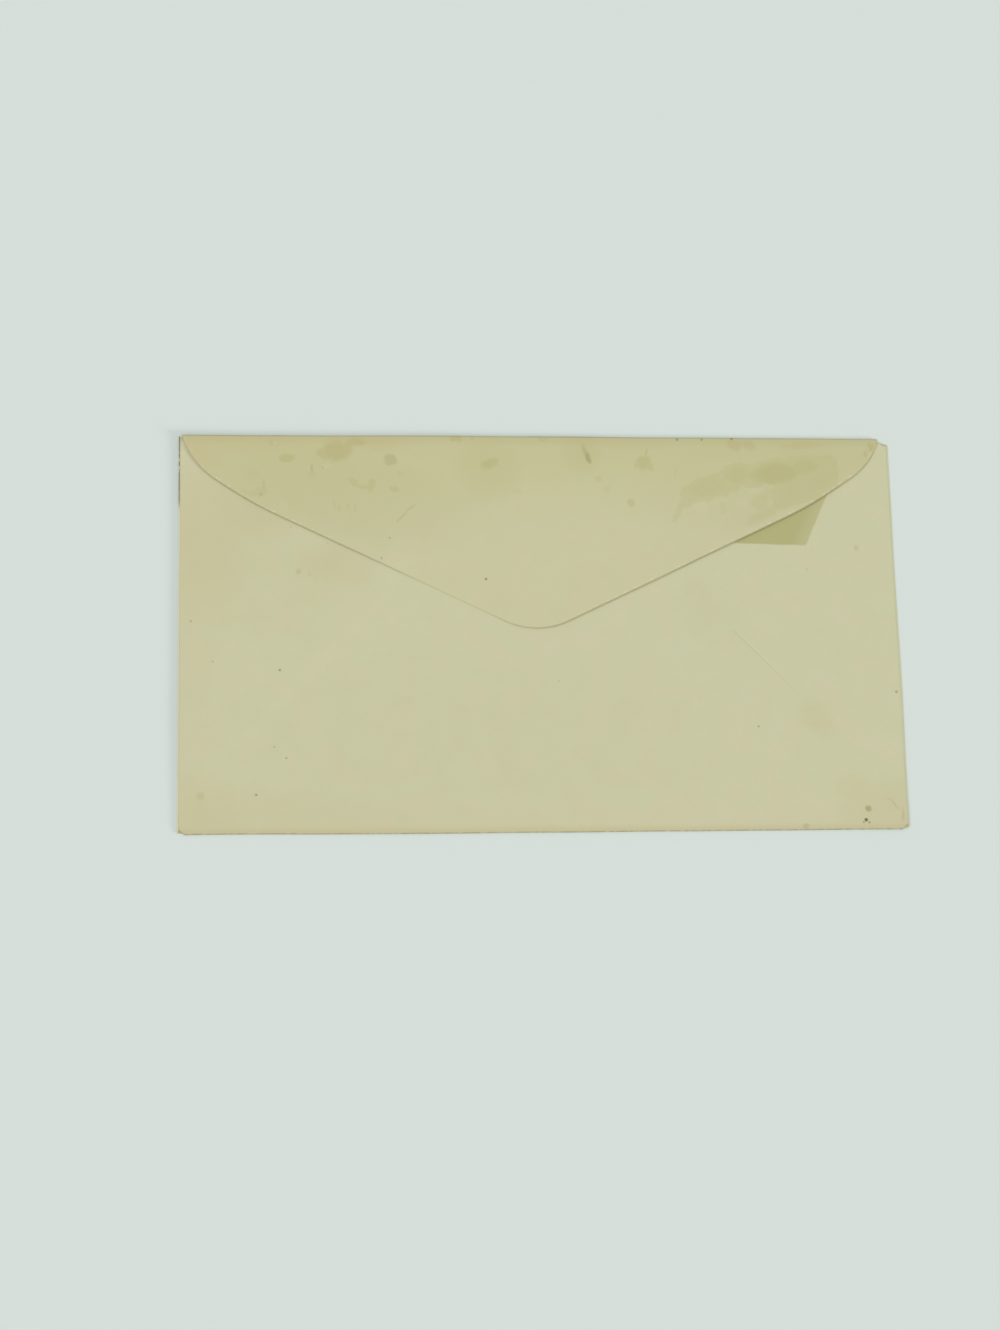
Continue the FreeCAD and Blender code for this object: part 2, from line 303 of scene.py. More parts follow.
def pressed(x, y):
    """How far the pocket has been pressed shut: most at the folds, and under the right knee."""
    inwards = min(HALF_LENGTH - abs(x), HALF_WIDTH - abs(y))
    at_fold = smooth_step(12.0, 0.0, inwards)
    at_knee = smooth_step(24.0, 6.0, math.hypot(x - UNDER_KNEE.x, y - UNDER_KNEE.y))
    return PRESSED + max(PRESSED_AT_FOLDS * at_fold, PRESSED_AT_KNEE * at_knee)


def back_sag(x, y):
    """How far the back panel sinks where no side flap lies under it, and its slight waves."""
    fade = smooth_step(0.5, 7.0, min(HALF_LENGTH - abs(x), y + HALF_WIDTH))
    inside = smooth_step(-0.7, 0.7, inside_side_flap(x, y))
    waves = BACK_WAVE * waver((x, y), BACK_WAVE_SIZE, 1.0)
    waves += BACK_RIPPLE * waver((x, y), BACK_RIPPLE_SIZE, 2.0)
    return fade * (waves - BACK_SINK * (1 - inside))


def flap_stand(x, y):
    """How far the closing flap stands off its even gap, near its free edge."""
    stand = EDGE_GAPS[-1][1]
    for (x0, gap0), (x1, gap1) in zip(EDGE_GAPS, EDGE_GAPS[1:]):
        if x < x1:
            stand = gap0 + (gap1 - gap0) * smooth_step(x0, x1, x)
            break
    slope = (HALF_WIDTH - KNEE_DROP - FLAP_POINT.y) / (KNEE_RIGHT - FLAP_POINT.x)
    edge = FLAP_POINT.y + slope * abs(x - FLAP_POINT.x)
    near_edge = smooth_step(12.0, 0.0, y - edge)
    away = smooth_step(0.0, 6.0, HALF_WIDTH - y)
    return away * (stand * near_edge + FLAP_WAVE * waver((x, y), FLAP_WAVE_SIZE, 6.0))


def fold_place(flat_x, flat_y):
    """Folds one place of the blank and lets the paper settle."""
    x, y, z = flat_x, flat_y, 0.0
    if abs(flat_x) > SIDE.line:
        line_shift = FOLD_WAVER * waver((flat_y, math.copysign(9, flat_x)), 14.0)
        if flat_x > 0:
            line_shift += RIGHT_BOW * smooth_step(26.0, 4.0, abs(flat_y + 14.0))
        across, z = SIDE.bend(abs(flat_x))
        x = math.copysign(across + line_shift, flat_x)
        z -= pressed(x, y) * z / (2 * SIDE.radius)
    elif flat_y < -BOTTOM.line:
        across, z = BOTTOM.bend(-flat_y)
        y = -across - FOLD_WAVER * waver((flat_x, 3.0), 16.0)
        y += BOTTOM_BOW * smooth_step(-35.0, -70.0, flat_x)
        z -= pressed(x, y) * z / (2 * BOTTOM.radius)
        if -flat_y > BOTTOM.line + BOTTOM.length:
            z += back_sag(x, y)
    elif flat_y > TOP.line:
        y, z = TOP.bend(flat_y)
        y += TOP_WAVER * waver((flat_x, 5.0), 18.0) + TOP_BOW * smooth_step(-65.0, -15.0, flat_x)
        creased = TOP_CREASE + TOP_CREASE_RIGHT * smooth_step(0.0, 60.0, x)
        creased *= smooth_step(6.0, 0.0, HALF_WIDTH - y)
        z -= (pressed(x, y) + creased) * z / (2 * TOP.radius)
        if flat_y > TOP.line + TOP.length:
            z += back_sag(x, y) * smooth_step(0.0, 8.0, HALF_WIDTH - y) + flap_stand(x, y)
    return Vector((x, y, z + lift(x, y)))


def make_envelope():
    """Folds the blank, gives it the paper's thickness, and keeps the blank's own coordinates."""
    bm = bmesh.new()
    draw_blank(bm)
    blank = bm.verts.layers.float_vector.new("blank")
    from_edge = bm.verts.layers.float.new("from_edge")
    edge_points = outline_points(bm)
    for vertex in bm.verts:
        vertex[blank] = vertex.co
        vertex[from_edge] = edge_points.find(vertex.co)[2]
        vertex.co = fold_place(vertex.co.x, vertex.co.y)
    bmesh.ops.remove_doubles(bm, verts=bm.verts, dist=0.001)
    bmesh.ops.recalc_face_normals(bm, faces=bm.faces)
    under = min(bm.faces, key=lambda face: face.calc_center_median().z)
    if under.normal.z > 0:
        bmesh.ops.reverse_faces(bm, faces=bm.faces)
    bmesh.ops.solidify(bm, geom=bm.faces[:], thickness=PAPER)
    for edge in bm.edges:
        edge.smooth = edge.calc_face_angle(math.pi) < SHARP
    for face in bm.faces:
        face.smooth = True
    bmesh.ops.scale(bm, verts=bm.verts, vec=(MM, MM, MM))
    mesh = bpy.data.meshes.new("folded_envelope")
    bm.to_mesh(mesh)
    bm.free()
    envelope = bpy.data.objects.new("folded_envelope", mesh)
    bpy.context.scene.collection.objects.link(envelope)
    return envelope


# Colours of the paper, of what has marked it, and of the light and shade painted on it.
PAPER_TONE = "#C9C8A5"
CLOUD_TONE = "#C7C5A0"
GREEN_TONE = "#C2C9A6"
PINK_TONE = "#CFC3A4"
TONED = "#C5BF96"
FLAP_TONED = "#C3B98E"
BROWN_TONE = "#BFB68C"
FLAP_TONE = "#C3C093"
FIBRE_TONE = "#BEBC96"
PALE_TONE = "#D3D2B6"
PAINTED_LIGHT_TONE = "#E4E3CC"
OLIVE_STAIN = "#B0AC72"
BROWN_STAIN = "#B1A46D"
DARK_STAIN_AND_SHADE = "#8F8450"
GUM_PATCH = "#B0AE79"
DIRT_AND_SHADE = "#55523A"
STAR_STAIN = "#AEA77C"
GREEN_SPOT = "#8E8C48"
RED_SPOT = "#A78E70"
TOP_FOLD_TONE = "#B6B183"
RIGHT_FOLD_SHADE = "#AEB28F"
FLOOR_TONE = "#D5DED8"

# Sizes of the paper's own patterns: pulp clouds, colour drifts, mottle, and fibres, drawn as
# coarse as they need to be to show.
CLOUD, DRIFT, MOTTLE = 7.0, 5.0, 1.0
FIBRE_LONG, FIBRE_WIDE = 1.5, 0.25
FIBRE_TURN = math.radians(12)
PULP_ROUGHNESS = 0.6
GRAIN_DEPTH = 0.006

# The pattern that makes outlines ragged: its size, and how far it moves each of them.
WANDER = 2.6
GUM_RAGGED, STAIN_RAGGED, PATCH_RAGGED = 2.4, 3.0, 0.35
IN_PLANE = Vector((1, 1, 0))

# A stain: place on the face, half sizes along and across it, turn in degrees, strength.
Stain = namedtuple("Stain", "x y long wide turn strength")

# A group of stains of one kind: where they lie, their colour, how soft and how ragged they are.
Group = namedtuple("Group", "face colour soft ragged stains")

FLAP_AREAS = (
    Stain(-50.0, 33.0, 24.0, 9.0, -8, 0.20),
    Stain(-44.0, 40.5, 11.0, 5.0, 0, 0.12),
    Stain(54.0, 38.0, 24.0, 9.0, 8, 0.12),
    Stain(0.0, 42.0, 30.0, 5.0, 0, 0.08),
    Stain(9.8, 42.4, 3.6, 4.2, 20, 0.22),
    Stain(74.5, 42.5, 6.0, 4.0, 0, 0.10),
    Stain(-72.0, 40.5, 6.0, 3.5, -30, 0.10),
    Stain(-12.3, 38.4, 6.2, 5.6, 12, 0.20),
    Stain(-47.5, 43.0, 3.8, 3.2, 0, 0.18),
    Stain(-54.0, 36.4, 4.6, 2.2, 0, 0.14),
)
FLAP_TONED_AREAS = (
    Stain(-79.5, 43.0, 4.5, 4.0, -30, 0.60),
    Stain(-70.0, 44.4, 12.0, 1.8, 0, 0.45),
    Stain(-38.0, 44.8, 6.5, 1.5, 0, 0.75),
    Stain(18.0, 44.8, 9.0, 1.2, 0, 0.45),
    Stain(62.5, 43.8, 4.5, 1.8, 0, 0.30),
)
BACK_TONED_AREAS = (
    Stain(-70.0, 30.0, 9.0, 5.0, -30, 0.65),
    Stain(-76.0, 22.0, 6.0, 13.0, 0, 0.55),
    Stain(-47.0, 15.5, 6.0, 3.5, 0, 0.50),
    Stain(63.5, -22.5, 2.4, 2.0, 0, 0.35),
    Stain(77.0, -42.0, 8.0, 5.0, 0, 0.40),
    Stain(70.0, -37.0, 3.4, 2.2, 0, 0.45),
    Stain(-77.0, -41.0, 6.0, 6.0, 0, 0.35),
)
BACK_OLIVE_AREAS = (
    Stain(38.5, 5.0, 5.0, 6.0, 40, 0.06),
    Stain(61.0, -19.4, 2.6, 2.6, 0, 0.12),
    Stain(-79.0, -42.0, 4.0, 4.0, 0, 0.12),
    Stain(-58.0, -42.5, 24.0, 5.0, 0, 0.10),
    Stain(-60.0, 14.0, 14.0, 13.0, 0, 0.07),
    Stain(-22.0, -28.0, 40.0, 15.0, 0, 0.05),
    Stain(-81.0, -6.0, 4.5, 30.0, 0, 0.08),
)

# Gum that has soaked through the closing flap at its right: its whole pool, and the darker core.
GUM_POOL = (
    Stain(65.2, 36.9, 8.2, 3.9, 4, 1.0),
    Stain(55.4, 37.4, 5.6, 2.8, 6, 1.0),
    Stain(46.3, 36.9, 2.9, 2.5, 0, 0.9),
    Stain(40.0, 33.8, 4.6, 2.3, 14, 1.0),
    Stain(34.4, 31.6, 1.9, 2.2, 20, 0.6),
    Stain(32.8, 29.0, 3.3, 0.75, 62, 0.8),
    Stain(64.0, 33.4, 6.0, 1.9, 20, 0.9),
    Stain(42.5, 28.8, 0.9, 1.6, 0, 0.45),
    Stain(51.5, 31.0, 2.6, 1.4, 30, 0.5),
    Stain(56.5, 31.8, 1.8, 2.2, 0, 0.5),
    Stain(52.0, 27.2, 4.6, 1.5, 25, 0.5),
)
GUM_CORE = (
    Stain(55.4, 37.5, 5.0, 2.2, 6, 0.46),
    Stain(62.0, 38.8, 3.4, 1.6, 15, 0.26),
    Stain(46.3, 37.0, 2.2, 1.8, 0, 0.20),
    Stain(39.6, 33.8, 3.6, 1.5, 14, 0.12),
)
GUM_RIGHT = 70.2

FLAP_BROWN = (
    Stain(-47.0, 42.2, 2.6, 2.1, 8, 0.46),
    Stain(-45.0, 42.6, 1.8, 1.6, 0, 0.40),
    Stain(-49.8, 41.6, 1.2, 1.0, 0, 0.34),
    Stain(-33.6, 33.1, 0.9, 0.7, 0, 0.25),
    Stain(46.0, 44.4, 1.5, 1.2, 0, 0.35),
    Stain(49.2, 44.5, 1.3, 1.0, 0, 0.28),
    Stain(62.0, 44.4, 3.6, 0.7, 0, 0.20),
    Stain(78.4, 44.0, 0.7, 0.9, 20, 0.45),
    Stain(77.0, 42.4, 0.5, 0.8, 20, 0.30),
    Stain(15.5, 33.4, 1.0, 1.0, 0, 0.12),
)
FLAP_OLIVE = (
    Stain(-52.6, 36.6, 1.2, 0.7, 30, 0.16),
    Stain(-64.6, 32.6, 2.2, 1.0, 10, 0.20),
    Stain(-67.0, 32.4, 1.6, 0.7, -25, 0.14),
    Stain(-65.7, 37.0, 1.5, 0.8, 0, 0.10),
    Stain(-58.1, 40.7, 1.7, 0.95, 8, 0.46),
    Stain(-42.2, 44.5, 2.4, 0.9, 0, 0.42),
    Stain(-32.2, 36.9, 0.9, 0.9, 0, 0.12),
    Stain(-42.7, 34.9, 1.2, 0.7, -40, 0.28),
    Stain(-40.8, 33.8, 1.4, 0.45, -8, 0.27),
    Stain(-38.8, 34.2, 0.75, 1.5, 0, 0.31),
    Stain(-44.3, 35.5, 0.3, 0.3, 0, 0.30),
    Stain(-19.2, 45.2, 1.3, 0.7, 0, 0.55),
    Stain(-15.6, 45.4, 0.5, 0.4, 0, 0.40),
    Stain(1.1, 45.2, 1.3, 0.5, 0, 0.35),
    Stain(-11.5, 39.4, 2.1, 1.2, 15, 0.36),
    Stain(24.4, 40.0, 1.7, 1.6, 0, 0.42),
    Stain(25.9, 38.9, 0.8, 0.6, -40, 0.34),
    Stain(22.7, 39.1, 0.7, 0.5, 30, 0.28),
    Stain(25.1, 42.2, 0.35, 1.3, -8, 0.35),
    Stain(13.7, 35.9, 0.8, 0.6, 0, 0.22),
    Stain(21.1, 30.2, 0.95, 0.9, 0, 0.36),
    Stain(-5.2, 32.9, 0.9, 0.6, 0, 0.12),
    Stain(31.8, 37.7, 0.4, 1.3, 0, 0.12),
    Stain(-61.6, 44.0, 0.6, 0.8, 0, 0.26),
    Stain(-60.0, 43.6, 0.3, 0.5, 0, 0.20),
)
FLAP_STAR = (
    Stain(-34.4, 40.2, 1.35, 1.25, 15, 0.56),
    Stain(-12.0, 39.5, 1.0, 0.8, 0, 0.20),
)
FLAP_STROKES = (
    Stain(-31.9, 26.6, 1.5, 0.25, 46, 0.20),
    Stain(-29.9, 28.8, 1.3, 0.22, 40, 0.18),
    Stain(-52.4, 38.2, 0.25, 0.8, 0, 0.23),
    Stain(-49.9, 38.4, 0.25, 0.30, 0, 0.25),
    Stain(-63.4, 34.3, 0.25, 1.0, 0, 0.13),
    Stain(-64.0, 32.0, 0.30, 0.30, 0, 0.22),
    Stain(-47.4, 29.6, 0.20, 1.0, 8, 0.12),
    Stain(-46.2, 28.6, 0.20, 0.8, 8, 0.12),
    Stain(-44.2, 29.0, 0.20, 0.7, 0, 0.10),
    Stain(-42.6, 28.6, 0.20, 0.8, 0, 0.09),
)
FLAP_STREAK = (
    Stain(10.9, 42.0, 0.50, 2.0, 22, 0.22),
    Stain(11.4, 40.9, 0.50, 1.3, 22, 0.46),
)
FLAP_PALE = (
    Stain(-58.9, 29.0, 0.9, 1.0, 0, 0.12),
    Stain(-49.0, 38.6, 0.8, 0.6, 0, 0.10),
    Stain(52.0, 33.9, 3.0, 0.7, 8, 0.16),
    Stain(41.5, 31.0, 1.5, 0.8, 20, 0.14),
    Stain(37.5, 29.5, 1.4, 1.6, 0, 0.12),
    Stain(47.0, 30.5, 1.2, 1.2, 0, 0.12),
)
BACK_SPOTS = (
    Stain(73.2, -41.2, 0.62, 0.55, 0, 0.58),
    Stain(-55.5, 13.8, 0.5, 0.4, 0, 0.22),
    Stain(-77.4, -37.5, 0.7, 0.7, 0, 0.16),
    Stain(58.6, -45.3, 0.6, 0.5, 0, 0.40),
    Stain(79.1, -40.2, 1.5, 0.16, -49, 0.24),
    Stain(81.2, -42.8, 0.3, 1.2, 0, 0.20),
)
BACK_RED_SPOTS = (
    Stain(73.7, 19.8, 0.45, 0.5, 0, 0.24),
    Stain(-53.0, 13.2, 0.3, 0.3, 0, 0.12),
)

STAINS = (
    Group("flap", OLIVE_STAIN, 0.85, 1.0, FLAP_AREAS),
    Group("flap", FLAP_TONED, 0.85, 1.0, FLAP_TONED_AREAS),
    Group("back", TONED, 0.85, 1.0, BACK_TONED_AREAS),
    Group("back", OLIVE_STAIN, 0.85, 1.0, BACK_OLIVE_AREAS),
    Group("flap", OLIVE_STAIN, 0.40, 0.7, GUM_CORE),
    Group("flap", BROWN_STAIN, 0.55, 1.0, FLAP_BROWN),
    Group("flap", OLIVE_STAIN, 0.35, 0.7, FLAP_OLIVE),
    Group("flap", STAR_STAIN, 0.35, 0.9, FLAP_STAR),
    Group("flap", DARK_STAIN_AND_SHADE, 0.60, 0.2, FLAP_STROKES),
    Group("flap", DARK_STAIN_AND_SHADE, 0.60, 0.3, FLAP_STREAK),
    Group("flap", PALE_TONE, 0.60, 1.0, FLAP_PALE),
    Group("back", GREEN_SPOT, 0.80, 0.4, BACK_SPOTS),
    Group("back", RED_SPOT, 0.80, 0.2, BACK_RED_SPOTS),
)

# Dark specks of dirt: place, radius and strength.
Speck = namedtuple("Speck", "x y radius strength")
FLAP_SPECKS = (
    Speck(-12.9, 12.0, 0.26, 0.70),
    Speck(-34.8, 21.7, 0.20, 0.40),
    Speck(-36.7, 16.9, 0.28, 0.30),
    Speck(32.5, 45.5, 0.25, 0.60),
    Speck(38.3, 45.5, 0.25, 0.50),
    Speck(45.4, 45.8, 0.30, 0.60),
)
BACK_SPECKS = (
    Speck(72.6, -43.9, 0.36, 1.00),
    Speck(72.0, -44.4, 0.22, 0.50),
    Speck(73.3, -44.5, 0.22, 0.60),
    Speck(-59.8, -9.0, 0.24, 0.65),
    Speck(-61.1, -26.5, 0.18, 0.40),
    Speck(-58.4, -29.0, 0.20, 0.50),
    Speck(-65.1, -37.3, 0.24, 0.60),
    Speck(48.8, -22.2, 0.20, 0.55),
    Speck(3.3, -11.5, 0.22, 0.25),
    Speck(-79.7, 2.2, 0.26, 0.35),
    Speck(-74.8, -7.1, 0.20, 0.35),
    Speck(81.3, -14.3, 0.30, 0.50),
    Speck(61.8, 14.6, 0.22, 0.20),
    Speck(-57.3, 24.3, 0.26, 0.14),
    Speck(-48.9, 20.6, 0.22, 0.14),
)

# The old gum patch on the back panel, cut off by a straight lower and a slanting right edge, and
# paler in a strip along that edge.
PATCH_LOW_LEFT = Vector((44.8, 20.75))
PATCH_LOW_RIGHT = Vector((61.9, 20.3))
PATCH_HIGH_RIGHT = Vector((67.0, 31.4))
PATCH_STRIP = 4.1

# The side flap's lower edge shows through the back panel as a thin raised line, with a painted highlight
# and painted shade along it.
SEAM_START = Vector((44.0, 0.3))
SEAM_END = Vector((62.0, -17.9))

# Along the folds and the flap's edge: where the left fold's dark upper end (dirt and painted shadow)
# begins, where the top fold is dirtiest, and where the flap's darkened edge (browning and painted shade)
# is palest.
LEFT_END = 28.0
DIRTIEST = 5.0
EDGE_PALE = -19.0


def linear(hex_colour):
    """An sRGB hex colour as linear red, green, blue and alpha."""
    parts = [int(hex_colour[at:at + 2], 16) / 255 for at in (1, 3, 5)]
    return [c / 12.92 if c <= 0.04045 else ((c + 0.055) / 1.055) ** 2.4 for c in parts] + [1.0]


def add(tree, kind, inputs=(), output=0, **settings):
    """Adds a node with its settings, fills its inputs with values or links, and gives an output."""
    node = tree.nodes.new("ShaderNode" + kind)
    for name, setting in settings.items():
        setattr(node, name, setting)
    for key, source in inputs.items() if isinstance(inputs, dict) else enumerate(inputs):
        if isinstance(source, bpy.types.NodeSocket):
            tree.links.new(source, node.inputs[key])
        else:
            node.inputs[key].default_value = source
    return node.outputs[output] if node.outputs else None


def new_material(name):
    """An empty material with its node tree."""
    material = bpy.data.materials.new(name)
    material.use_nodes = True
    material.node_tree.nodes.clear()
    return material, material.node_tree


def on_blank(face, x, y):
    """Where a place seen on the closing flap or on the back panel lies on the flat blank."""
    return (x, TOP.flat(y)) if face == "flap" else (x, -BOTTOM.flat(-y))


def within(tree, *limits):
    """A mask, the product of soft steps: each a value, its low and high, and its bottom and top."""
    mask = None
    for limit in limits:
        step = limit
        if not isinstance(limit, bpy.types.NodeSocket):
            step = add(tree, "MapRange", limit, interpolation_type="SMOOTHSTEP")
        mask = step if mask is None else add(tree, "Math", (mask, step), operation="MULTIPLY")
    return mask


def tint(tree, colour, share, hex_colour, most=1.0):
    """Lays a colour over another one by a share."""
    strength = add(tree, "Math", (share, most), operation="MULTIPLY")
    inputs = {"Factor": strength, "A": colour, "B": linear(hex_colour)}
    return add(tree, "Mix", inputs, "Result", data_type="RGBA")


def stain_mask(tree, place, stains, face, soft, operation="MAXIMUM"):
    """How strongly a group of stains marks the paper: each one's strength inside its ellipse."""
    total = None
    for stain in stains:
        turn = -math.radians(stain.turn)
        along = Vector((math.cos(turn), math.sin(turn), 0)) / stain.long
        across = Vector((-math.sin(turn), math.cos(turn), 0)) / stain.wide
        middle = (*on_blank(face, stain.x, stain.y), 0)
        local = add(tree, "VectorMath", (place, middle), operation="SUBTRACT")
        long_part = add(tree, "VectorMath", (local, along), "Value", operation="DOT_PRODUCT")
        wide_part = add(tree, "VectorMath", (local, across), "Value", operation="DOT_PRODUCT")
        square = add(tree, "Math", (long_part, long_part), operation="MULTIPLY")
        square = add(tree, "Math", (wide_part, wide_part, square), operation="MULTIPLY_ADD")
        mask = within(tree, (square, (1 + soft) ** 2, (1 - soft) ** 2, 0.0, stain.strength))
        total = mask if total is None else add(tree, "Math", (total, mask), operation=operation)
    return total


def beside_line(tree, place, face, start, end):
    """Distance to the left of a line that is seen on a face, and the distance along it."""
    begin = Vector((*on_blank(face, *start), 0))
    along = (Vector((*on_blank(face, *end), 0)) - begin).normalized()
    across = Vector((along.y, -along.x, 0))
    local = add(tree, "VectorMath", (place, begin), operation="SUBTRACT")
    return [add(tree, "VectorMath", (local, way), "Value", operation="DOT_PRODUCT")
            for way in (across, along)]


def wove_paper(tree, colour, place):
    """The pulp's clouds, its faint green and pink drifts, its mottle and its fibres."""
    patterns = []
    for size, detail, output in ((CLOUD, 3.0, 0), (DRIFT, 2.0, "Color"), (MOTTLE, 2.0, 0)):
        inputs = {"Vector": place, "Scale": 1 / size, "Detail": detail, "Roughness": PULP_ROUGHNESS}
        patterns.append(add(tree, "TexNoise", inputs, output))
    clouds, drift, mottle = patterns
    green, pink, _ = add(tree, "SeparateColor", (drift,)).node.outputs
    lying = add(tree, "Mapping", {
        "Vector": place, "Rotation": (0, 0, FIBRE_TURN), "Scale": (1 / FIBRE_LONG, 1 / FIBRE_WIDE, 1)})
    fibres = add(tree, "TexNoise", {
        "Vector": lying, "Scale": 1.0, "Detail": 2.0, "Roughness": PULP_ROUGHNESS})
    colour = tint(tree, colour, within(tree, (clouds, 0.35, 0.70)), CLOUD_TONE, 0.60)
    colour = tint(tree, colour, within(tree, (green, 0.48, 0.72)), GREEN_TONE, 0.30)
    colour = tint(tree, colour, within(tree, (pink, 0.48, 0.72)), PINK_TONE, 0.30)
    colour = tint(tree, colour, within(tree, (mottle, 0.45, 0.80)), CLOUD_TONE, 0.40)
    colour = tint(tree, colour, within(tree, (fibres, 0.55, 0.85)), FIBRE_TONE, 0.16)
    return colour, clouds, mottle, fibres


def edge_tones(tree, colour, body, clouds):
    """Handling has reddened the left and lower edges unevenly, and browned the lowest part."""
    x, y, _ = add(tree, "SeparateXYZ", (body,)).node.outputs
    uneven = add(tree, "Math", (clouds, -8.0, 4.0), operation="MULTIPLY_ADD")
    from_left = add(tree, "Math", (x, HALF_LENGTH), operation="ADD")
    from_bottom = add(tree, "Math", (y, HALF_WIDTH), operation="ADD")
    left = within(tree, (add(tree, "Math", (from_left, uneven), operation="ADD"), 8.0, 2.0))
    low = within(tree, (add(tree, "Math", (from_bottom, uneven), operation="ADD"), 9.0, 3.0))
    reddened = add(tree, "Math", (left, low), operation="MAXIMUM")
    colour = tint(tree, colour, reddened, PINK_TONE, 0.20)
    return tint(tree, colour, within(tree, (from_bottom, 2.6, 0.4)), BROWN_TONE, 0.22)


def flap_tones(tree, colour, depth):
    """The closing flap is a little more yellow than the rest, most of all towards its fold."""
    is_flap = within(tree, (depth, TOP.line + 0.2, TOP.line + 0.5))
    near_fold = within(tree, (depth, TOP.flat(HALF_WIDTH - 26), TOP.flat(HALF_WIDTH - 2)), is_flap)
    colour = tint(tree, colour, is_flap, FLAP_TONE, 0.30)
    return tint(tree, colour, near_fold, FLAP_TONE, 0.75), is_flap


def gum_patch(tree, colour, place):
    """Old gum on the back panel beside the closing flap's right knee, paler towards its right."""
    above, along = beside_line(tree, place, "back", PATCH_LOW_LEFT, PATCH_LOW_RIGHT)
    inside, _ = beside_line(tree, place, "back", PATCH_LOW_RIGHT, PATCH_HIGH_RIGHT)
    patch = within(tree, (above, -0.1, 0.3), (inside, -0.15, 0.3), (along, -1.0, 1.5),
                   (inside, 0.0, PATCH_STRIP, 0.74, 1.0))
    return tint(tree, colour, patch, GUM_PATCH), patch


def soaked_gum(tree, colour, place, across, mottle):
    """Gum soaked through the flap in one winding pool that stops short at a straight right edge."""
    pool = stain_mask(tree, place, GUM_POOL, "flap", 0.75, "ADD")
    pool = within(tree, (pool, 0.30, 0.55), (mottle, 0.2, 0.6, 0.7),
                  (across, GUM_RIGHT + 0.2, GUM_RIGHT - 0.2))
    return tint(tree, colour, pool, OLIVE_STAIN, 0.26), pool


def seam_line(tree, colour, place):
    """The edge of the side flap beneath: a painted highlight above, with a thin painted shade below it.
    """
    above, along = beside_line(tree, place, "back", SEAM_START, SEAM_END)
    length = (SEAM_END - SEAM_START).length
    faded = within(tree, (along, -0.5, 0.5), (along, length, 7.0, 0.15), (along, 46.0, 40.0))
    # A painted highlight above the raised line and a painted shade below it.
    pale = within(tree, (above, -0.1, 0.15), (above, 0.5, 0.25), faded)
    shade = within(tree, (above, -0.45, -0.2), (above, 0.1, -0.1), faded)
    colour = tint(tree, colour, pale, PALE_TONE, 0.24)
    return tint(tree, colour, shade, BROWN_TONE, 0.50)


def from_middle(tree, source, fold, sign):
    """How far a place on the blank lies from the middle of a fold."""
    middle = sign * (fold.line + fold.length / 2)
    beside = add(tree, "Math", (source, middle), operation="SUBTRACT")
    return add(tree, "Math", (beside,), operation="ABSOLUTE")


def fold_dirt_and_shading(tree, colour, x, y, mottle):
    """Along the folds: dirt at the top, dirt and painted shade at the bottom, painted shade on the right
    fold, painted light on the lower left fold, and a ragged dark upper left end of dirt and painted
    shadow.
    """
    top = from_middle(tree, y, TOP, 1)
    bottom = from_middle(tree, y, BOTTOM, -1)
    left = from_middle(tree, x, SIDE, -1)
    right = from_middle(tree, x, SIDE, 1)
    top_bend, bottom_bend = TOP.length / 2, BOTTOM.length / 2
    colour = tint(tree, colour, within(tree, (top, top_bend + 2.4, top_bend)), TOP_FOLD_TONE, 0.38)
    # The band over the bottom fold is partly dirt and partly painted shade where the fold turns under.
    colour = tint(tree, colour, within(tree, (bottom, bottom_bend + 1.3, bottom_bend)), BROWN_TONE, 0.50)
    # Painted shade on the right fold's curve, which turns away from the light.
    colour = tint(tree, colour, within(tree, (right, SIDE.length, 0.2)), RIGHT_FOLD_SHADE, 0.45)

    from_worst = add(tree, "Math", (x, DIRTIEST), operation="SUBTRACT")
    from_worst = add(tree, "Math", (from_worst,), operation="ABSOLUTE")
    top_line = within(tree, (top, 0.50, 0.15), (from_worst, 10.0, 7.0, 0.20, 0.60))
    # The thin bottom line is partly dirt and partly painted shade of the fold.
    bottom_dirt_and_shade = within(tree, (bottom, 0.45, 0.15, 0.0, 0.55))
    lines = add(tree, "Math", (top_line, bottom_dirt_and_shade), operation="MAXIMUM")
    colour = tint(tree, colour, within(tree, lines, (mottle, 0.30, 0.62, 0.35, 1.0)), DIRT_AND_SHADE)

    # Painted light on the lower part of the left fold, lifting its shade.
    painted_light_left = within(tree, (left, 0.40, 0.25), (y, LEFT_END + 3.0, LEFT_END))
    colour = tint(tree, colour, painted_light_left, PAINTED_LIGHT_TONE, 0.50)
    # The ragged dark upper end is partly dirt and partly painted shadow cast by the back panel's raw
    # edge onto the fold.
    dirt_and_shadow_end = within(tree, (left, 0.34, 0.20), (mottle, 0.36, 0.50), (y, LEFT_END, LEFT_END + 3.0))
    return tint(tree, colour, dirt_and_shadow_end, DIRT_AND_SHADE, 0.90)


def flap_edge(tree, colour, x, from_edge, is_flap, mottle):
    """The closing flap's cut edge is darkened by browning and by painted shade of the gap beneath it,
    least left of its point, and has pale worn flecks painted as highlights.
    """
    from_pale = add(tree, "Math", (x, EDGE_PALE), operation="SUBTRACT")
    from_pale = add(tree, "Math", (from_pale,), operation="ABSOLUTE")
    # The dark band along the cut edge is partly browned paper and partly painted shade of the gap under
    # the flap's edge.
    browned_and_shaded = within(tree, (from_edge, 0.40, 0.05), is_flap, (from_pale, 2.0, 28.0, 0.05, 0.46),
                     (x, 0.0, 50.0, 1.0, 1.3), (x, -82.0, -66.0, 0.3, 1.0), (x, 80.0, 66.0, 0.4, 1.0))
    colour = tint(tree, colour, browned_and_shaded, DARK_STAIN_AND_SHADE)
    # Pale flecks along the worn edge, painted as highlights.
    worn_glints = within(tree, (from_edge, 0.25, 0.40), (from_edge, 0.75, 0.50), is_flap,
                  (mottle, 0.52, 0.62), (from_pale, 10.0, 40.0))
    return tint(tree, colour, worn_glints, PAINTED_LIGHT_TONE, 0.36)


